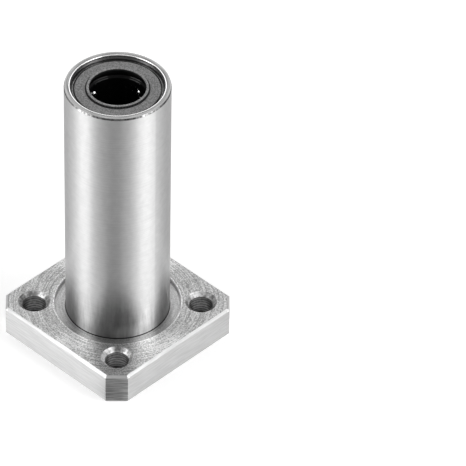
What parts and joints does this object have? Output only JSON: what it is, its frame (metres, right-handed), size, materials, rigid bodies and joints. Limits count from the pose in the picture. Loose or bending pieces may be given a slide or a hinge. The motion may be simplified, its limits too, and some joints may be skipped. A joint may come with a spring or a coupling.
{
  "type": "square flange linear bearing",
  "caption": "Long linear ball bearing for a round shaft: ground steel sleeve pressed into a square flange with countersunk corner holes, sealed at both ends.",
  "frame": {"origin": "centre of the flange's outer face, on the bore's axis", "axes": "+Z along the bore towards the sleeve's free end; X and Y square to the flange's sides"},
  "size_m": [0.025, 0.025, 0.045],
  "materials": {
    "ground_steel": "fine ground",
    "milled_steel": "milled, bright bevels",
    "ball_steel": "polished",
    "spring_steel": "blackened spring steel",
    "seal_rubber": "matt moulded",
    "black_plastic": "moulded"
  },
  "bodies": {
    "bearing_shell": {"outer_sleeve": "ground_steel", "square_flange": "milled_steel", "spacer_ring": "black_plastic", "seal_upper": "seal_rubber", "seal_lower": "seal_rubber", "snap_ring_upper": "spring_steel", "snap_ring_lower": "spring_steel", "retainer_upper": "black_plastic", "retainer_lower": "black_plastic"},
    "upper_circuit_1_load_balls": {"upper_circuit_1_load_balls": "ball_steel"},
    "upper_circuit_1_return_balls": {"upper_circuit_1_return_balls": "ball_steel"},
    "upper_circuit_1_outer_turn_balls": {"upper_circuit_1_outer_turn_balls": "ball_steel"},
    "upper_circuit_1_inner_turn_balls": {"upper_circuit_1_inner_turn_balls": "ball_steel"},
    "upper_circuit_2_load_balls": {"upper_circuit_2_load_balls": "ball_steel"},
    "upper_circuit_2_return_balls": {"upper_circuit_2_return_balls": "ball_steel"},
    "upper_circuit_2_outer_turn_balls": {"upper_circuit_2_outer_turn_balls": "ball_steel"},
    "upper_circuit_2_inner_turn_balls": {"upper_circuit_2_inner_turn_balls": "ball_steel"},
    "upper_circuit_3_load_balls": {"upper_circuit_3_load_balls": "ball_steel"},
    "upper_circuit_3_return_balls": {"upper_circuit_3_return_balls": "ball_steel"},
    "upper_circuit_3_outer_turn_balls": {"upper_circuit_3_outer_turn_balls": "ball_steel"},
    "upper_circuit_3_inner_turn_balls": {"upper_circuit_3_inner_turn_balls": "ball_steel"},
    "upper_circuit_4_load_balls": {"upper_circuit_4_load_balls": "ball_steel"},
    "upper_circuit_4_return_balls": {"upper_circuit_4_return_balls": "ball_steel"},
    "upper_circuit_4_outer_turn_balls": {"upper_circuit_4_outer_turn_balls": "ball_steel"},
    "upper_circuit_4_inner_turn_balls": {"upper_circuit_4_inner_turn_balls": "ball_steel"},
    "lower_circuit_1_load_balls": {"lower_circuit_1_load_balls": "ball_steel"},
    "lower_circuit_1_return_balls": {"lower_circuit_1_return_balls": "ball_steel"},
    "lower_circuit_1_outer_turn_balls": {"lower_circuit_1_outer_turn_balls": "ball_steel"},
    "lower_circuit_1_inner_turn_balls": {"lower_circuit_1_inner_turn_balls": "ball_steel"},
    "lower_circuit_2_load_balls": {"lower_circuit_2_load_balls": "ball_steel"},
    "lower_circuit_2_return_balls": {"lower_circuit_2_return_balls": "ball_steel"},
    "lower_circuit_2_outer_turn_balls": {"lower_circuit_2_outer_turn_balls": "ball_steel"},
    "lower_circuit_2_inner_turn_balls": {"lower_circuit_2_inner_turn_balls": "ball_steel"},
    "lower_circuit_3_load_balls": {"lower_circuit_3_load_balls": "ball_steel"},
    "lower_circuit_3_return_balls": {"lower_circuit_3_return_balls": "ball_steel"},
    "lower_circuit_3_outer_turn_balls": {"lower_circuit_3_outer_turn_balls": "ball_steel"},
    "lower_circuit_3_inner_turn_balls": {"lower_circuit_3_inner_turn_balls": "ball_steel"},
    "lower_circuit_4_load_balls": {"lower_circuit_4_load_balls": "ball_steel"},
    "lower_circuit_4_return_balls": {"lower_circuit_4_return_balls": "ball_steel"},
    "lower_circuit_4_outer_turn_balls": {"lower_circuit_4_outer_turn_balls": "ball_steel"},
    "lower_circuit_4_inner_turn_balls": {"lower_circuit_4_inner_turn_balls": "ball_steel"}
  },
  "joints": [
    {"name": "upper_circuit_1_load_row", "type": "slide", "parent": "bearing_shell", "child": "upper_circuit_1_load_balls", "axis": [0, 0, 1], "range_m": [-0.00085, 0.00085]},
    {"name": "upper_circuit_1_return_row", "type": "slide", "parent": "bearing_shell", "child": "upper_circuit_1_return_balls", "axis": [0, 0, 1], "range_m": [-0.00085, 0.00085]},
    {"name": "upper_circuit_1_outer_turn", "type": "hinge", "parent": "bearing_shell", "child": "upper_circuit_1_outer_turn_balls", "pos_m": [0.00479, 0.00162, 0.04005], "axis": [-1, 0, 0], "range_deg": [-30, 30]},
    {"name": "upper_circuit_1_inner_turn", "type": "hinge", "parent": "bearing_shell", "child": "upper_circuit_1_inner_turn_balls", "pos_m": [0.00479, 0.00162, 0.02815], "axis": [-1, 0, 0], "range_deg": [-30, 30]},
    {"name": "upper_circuit_2_load_row", "type": "slide", "parent": "bearing_shell", "child": "upper_circuit_2_load_balls", "axis": [0, 0, 1], "range_m": [-0.00085, 0.00085]},
    {"name": "upper_circuit_2_return_row", "type": "slide", "parent": "bearing_shell", "child": "upper_circuit_2_return_balls", "axis": [0, 0, 1], "range_m": [-0.00085, 0.00085]},
    {"name": "upper_circuit_2_outer_turn", "type": "hinge", "parent": "bearing_shell", "child": "upper_circuit_2_outer_turn_balls", "pos_m": [-0.00162, 0.00479, 0.04005], "axis": [0, -1, 0], "range_deg": [-30, 30]},
    {"name": "upper_circuit_2_inner_turn", "type": "hinge", "parent": "bearing_shell", "child": "upper_circuit_2_inner_turn_balls", "pos_m": [-0.00162, 0.00479, 0.02815], "axis": [0, -1, 0], "range_deg": [-30, 30]},
    {"name": "upper_circuit_3_load_row", "type": "slide", "parent": "bearing_shell", "child": "upper_circuit_3_load_balls", "axis": [0, 0, 1], "range_m": [-0.00085, 0.00085]},
    {"name": "upper_circuit_3_return_row", "type": "slide", "parent": "bearing_shell", "child": "upper_circuit_3_return_balls", "axis": [0, 0, 1], "range_m": [-0.00085, 0.00085]},
    {"name": "upper_circuit_3_outer_turn", "type": "hinge", "parent": "bearing_shell", "child": "upper_circuit_3_outer_turn_balls", "pos_m": [-0.00479, -0.00162, 0.04005], "axis": [1, 0, 0], "range_deg": [-30, 30]},
    {"name": "upper_circuit_3_inner_turn", "type": "hinge", "parent": "bearing_shell", "child": "upper_circuit_3_inner_turn_balls", "pos_m": [-0.00479, -0.00162, 0.02815], "axis": [1, 0, 0], "range_deg": [-30, 30]},
    {"name": "upper_circuit_4_load_row", "type": "slide", "parent": "bearing_shell", "child": "upper_circuit_4_load_balls", "axis": [0, 0, 1], "range_m": [-0.00085, 0.00085]},
    {"name": "upper_circuit_4_return_row", "type": "slide", "parent": "bearing_shell", "child": "upper_circuit_4_return_balls", "axis": [0, 0, 1], "range_m": [-0.00085, 0.00085]},
    {"name": "upper_circuit_4_outer_turn", "type": "hinge", "parent": "bearing_shell", "child": "upper_circuit_4_outer_turn_balls", "pos_m": [0.00162, -0.00479, 0.04005], "axis": [0, 1, 0], "range_deg": [-30, 30]},
    {"name": "upper_circuit_4_inner_turn", "type": "hinge", "parent": "bearing_shell", "child": "upper_circuit_4_inner_turn_balls", "pos_m": [0.00162, -0.00479, 0.02815], "axis": [0, 1, 0], "range_deg": [-30, 30]},
    {"name": "lower_circuit_1_load_row", "type": "slide", "parent": "bearing_shell", "child": "lower_circuit_1_load_balls", "axis": [0, 0, -1], "range_m": [-0.00085, 0.00085]},
    {"name": "lower_circuit_1_return_row", "type": "slide", "parent": "bearing_shell", "child": "lower_circuit_1_return_balls", "axis": [0, 0, -1], "range_m": [-0.00085, 0.00085]},
    {"name": "lower_circuit_1_outer_turn", "type": "hinge", "parent": "bearing_shell", "child": "lower_circuit_1_outer_turn_balls", "pos_m": [0.00479, -0.00162, 0.00495], "axis": [-1, 0, 0], "range_deg": [-30, 30]},
    {"name": "lower_circuit_1_inner_turn", "type": "hinge", "parent": "bearing_shell", "child": "lower_circuit_1_inner_turn_balls", "pos_m": [0.00479, -0.00162, 0.01685], "axis": [-1, 0, 0], "range_deg": [-30, 30]},
    {"name": "lower_circuit_2_load_row", "type": "slide", "parent": "bearing_shell", "child": "lower_circuit_2_load_balls", "axis": [0, 0, -1], "range_m": [-0.00085, 0.00085]},
    {"name": "lower_circuit_2_return_row", "type": "slide", "parent": "bearing_shell", "child": "lower_circuit_2_return_balls", "axis": [0, 0, -1], "range_m": [-0.00085, 0.00085]},
    {"name": "lower_circuit_2_outer_turn", "type": "hinge", "parent": "bearing_shell", "child": "lower_circuit_2_outer_turn_balls", "pos_m": [-0.00162, -0.00479, 0.00495], "axis": [0, 1, 0], "range_deg": [-30, 30]},
    {"name": "lower_circuit_2_inner_turn", "type": "hinge", "parent": "bearing_shell", "child": "lower_circuit_2_inner_turn_balls", "pos_m": [-0.00162, -0.00479, 0.01685], "axis": [0, 1, 0], "range_deg": [-30, 30]},
    {"name": "lower_circuit_3_load_row", "type": "slide", "parent": "bearing_shell", "child": "lower_circuit_3_load_balls", "axis": [0, 0, -1], "range_m": [-0.00085, 0.00085]},
    {"name": "lower_circuit_3_return_row", "type": "slide", "parent": "bearing_shell", "child": "lower_circuit_3_return_balls", "axis": [0, 0, -1], "range_m": [-0.00085, 0.00085]},
    {"name": "lower_circuit_3_outer_turn", "type": "hinge", "parent": "bearing_shell", "child": "lower_circuit_3_outer_turn_balls", "pos_m": [-0.00479, 0.00162, 0.00495], "axis": [1, 0, 0], "range_deg": [-30, 30]},
    {"name": "lower_circuit_3_inner_turn", "type": "hinge", "parent": "bearing_shell", "child": "lower_circuit_3_inner_turn_balls", "pos_m": [-0.00479, 0.00162, 0.01685], "axis": [1, 0, 0], "range_deg": [-30, 30]},
    {"name": "lower_circuit_4_load_row", "type": "slide", "parent": "bearing_shell", "child": "lower_circuit_4_load_balls", "axis": [0, 0, -1], "range_m": [-0.00085, 0.00085]},
    {"name": "lower_circuit_4_return_row", "type": "slide", "parent": "bearing_shell", "child": "lower_circuit_4_return_balls", "axis": [0, 0, -1], "range_m": [-0.00085, 0.00085]},
    {"name": "lower_circuit_4_outer_turn", "type": "hinge", "parent": "bearing_shell", "child": "lower_circuit_4_outer_turn_balls", "pos_m": [0.00162, 0.00479, 0.00495], "axis": [0, -1, 0], "range_deg": [-30, 30]},
    {"name": "lower_circuit_4_inner_turn", "type": "hinge", "parent": "bearing_shell", "child": "lower_circuit_4_inner_turn_balls", "pos_m": [0.00162, 0.00479, 0.01685], "axis": [0, -1, 0], "range_deg": [-30, 30]}
  ],
  "couplings": [
    {"joint": "upper_circuit_1_return_row", "follows": "upper_circuit_1_load_row", "ratio": -1},
    {"joint": "upper_circuit_1_outer_turn", "follows": "upper_circuit_1_load_row", "rad_per_m": 616.14},
    {"joint": "upper_circuit_1_inner_turn", "follows": "upper_circuit_1_load_row", "rad_per_m": 616.14},
    {"joint": "upper_circuit_2_return_row", "follows": "upper_circuit_2_load_row", "ratio": -1},
    {"joint": "upper_circuit_2_outer_turn", "follows": "upper_circuit_2_load_row", "rad_per_m": 616.14},
    {"joint": "upper_circuit_2_inner_turn", "follows": "upper_circuit_2_load_row", "rad_per_m": 616.14},
    {"joint": "upper_circuit_3_return_row", "follows": "upper_circuit_3_load_row", "ratio": -1},
    {"joint": "upper_circuit_3_outer_turn", "follows": "upper_circuit_3_load_row", "rad_per_m": 616.14},
    {"joint": "upper_circuit_3_inner_turn", "follows": "upper_circuit_3_load_row", "rad_per_m": 616.14},
    {"joint": "upper_circuit_4_return_row", "follows": "upper_circuit_4_load_row", "ratio": -1},
    {"joint": "upper_circuit_4_outer_turn", "follows": "upper_circuit_4_load_row", "rad_per_m": 616.14},
    {"joint": "upper_circuit_4_inner_turn", "follows": "upper_circuit_4_load_row", "rad_per_m": 616.14},
    {"joint": "lower_circuit_1_return_row", "follows": "lower_circuit_1_load_row", "ratio": -1},
    {"joint": "lower_circuit_1_outer_turn", "follows": "lower_circuit_1_load_row", "rad_per_m": 616.14},
    {"joint": "lower_circuit_1_inner_turn", "follows": "lower_circuit_1_load_row", "rad_per_m": 616.14},
    {"joint": "lower_circuit_2_return_row", "follows": "lower_circuit_2_load_row", "ratio": -1},
    {"joint": "lower_circuit_2_outer_turn", "follows": "lower_circuit_2_load_row", "rad_per_m": 616.14},
    {"joint": "lower_circuit_2_inner_turn", "follows": "lower_circuit_2_load_row", "rad_per_m": 616.14},
    {"joint": "lower_circuit_3_return_row", "follows": "lower_circuit_3_load_row", "ratio": -1},
    {"joint": "lower_circuit_3_outer_turn", "follows": "lower_circuit_3_load_row", "rad_per_m": 616.14},
    {"joint": "lower_circuit_3_inner_turn", "follows": "lower_circuit_3_load_row", "rad_per_m": 616.14},
    {"joint": "lower_circuit_4_return_row", "follows": "lower_circuit_4_load_row", "ratio": -1},
    {"joint": "lower_circuit_4_outer_turn", "follows": "lower_circuit_4_load_row", "rad_per_m": 616.14},
    {"joint": "lower_circuit_4_inner_turn", "follows": "lower_circuit_4_load_row", "rad_per_m": 616.14}
  ]
}
